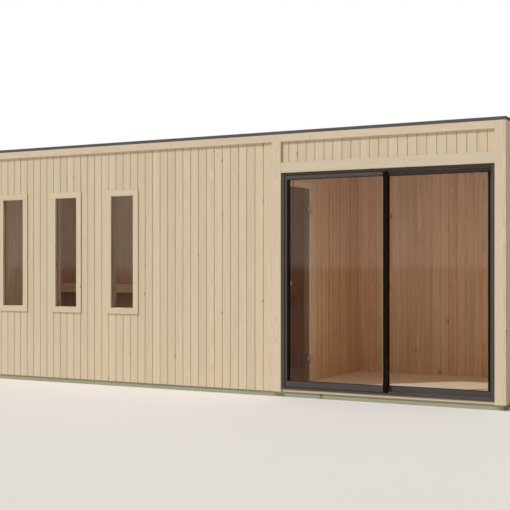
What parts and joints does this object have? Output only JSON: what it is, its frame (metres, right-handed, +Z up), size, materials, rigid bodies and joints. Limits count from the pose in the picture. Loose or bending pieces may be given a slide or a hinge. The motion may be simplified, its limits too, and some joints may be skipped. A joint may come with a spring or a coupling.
{
  "type": "garden sauna house",
  "caption": "Flat-roofed timber garden cabin with a sauna room behind three tall narrow windows and a lounge behind a sliding glass door.",
  "frame": {"origin": "on the ground, under the middle of the house's outer box", "axes": "+X along the front to the right, the front faces -Y, +Z up"},
  "size_m": [6, 1.95, 2.46],
  "materials": {
    "outside_timber": "planed spruce, untreated",
    "inside_timber": "planed spruce lining",
    "floor_timber": "planed spruce floor boards",
    "treated_timber": "pressure-treated, greenish",
    "dark_aluminium": "powder coated, matt dark grey",
    "black_profile": "matt black",
    "roof_edge": "matt dark brown grey",
    "roof_felt": "mineral roofing felt",
    "clear_glass": "clear sealed glazing",
    "handle_wood": "turned hardwood",
    "hinge_steel": "brushed"
  },
  "bodies": {
    "house": {"base_rim_front": "treated_timber", "base_rim_back": "treated_timber", "base_rim_left": "treated_timber", "base_rim_right": "treated_timber", "base_bearers": "treated_timber", "floor_lounge": "floor_timber", "floor_sauna": "floor_timber", "front_wall_left": "inside_timber", "front_wall_right": "inside_timber", "front_wall_over_door": "inside_timber", "back_wall": "inside_timber", "left_wall": "inside_timber", "right_wall": "inside_timber", "front_boards_left": "outside_timber", "front_boards_over_door": "outside_timber", "front_boards_right": "outside_timber", "back_boards": "outside_timber", "left_boards": "outside_timber", "right_boards": "outside_timber", "partition_back": "inside_timber", "partition_header": "inside_timber", "sauna_door_frame": "inside_timber", "sauna_hinge_posts": "hinge_steel", "roof_panel": "inside_timber", "roof_edge": "roof_edge", "roof_felt": "roof_felt", "fascia_boards": "outside_timber", "corner_front_right": "outside_timber", "corner_front_left": "outside_timber", "corner_back_right": "outside_timber", "corner_back_left": "outside_timber", "centre_trim": "outside_timber", "door_head_board": "outside_timber", "door_sill_board": "outside_timber", "window_casings": "outside_timber", "window_liners": "outside_timber", "window_glass": "clear_glass", "slide_head": "dark_aluminium", "slide_sill": "dark_aluminium", "slide_jambs": "dark_aluminium", "bench_front": "inside_timber", "bench_top": "inside_timber", "bench_supports": "inside_timber"},
    "left_leaf": {"left_leaf_frame": "dark_aluminium", "left_leaf_glass": "clear_glass", "left_leaf_interlock": "black_profile"},
    "right_leaf": {"right_leaf_frame": "dark_aluminium", "right_leaf_glass": "clear_glass"},
    "sauna_door": {"sauna_door_leaf": "clear_glass", "sauna_door_handle": "handle_wood", "sauna_hinge_clamps": "hinge_steel"}
  },
  "joints": [
    {"name": "left_leaf_slide", "type": "slide", "parent": "house", "child": "left_leaf", "axis": [1, 0, 0], "range_m": [0, 0.935]},
    {"name": "right_leaf_slide", "type": "slide", "parent": "house", "child": "right_leaf", "axis": [1, 0, 0], "range_m": [-0.967, 0]},
    {"name": "sauna_door_hinge", "type": "hinge", "parent": "house", "child": "sauna_door", "pos_m": [0.901, -0.348, 1], "axis": [0, 0, 1], "range_deg": [0, 95]}
  ]
}
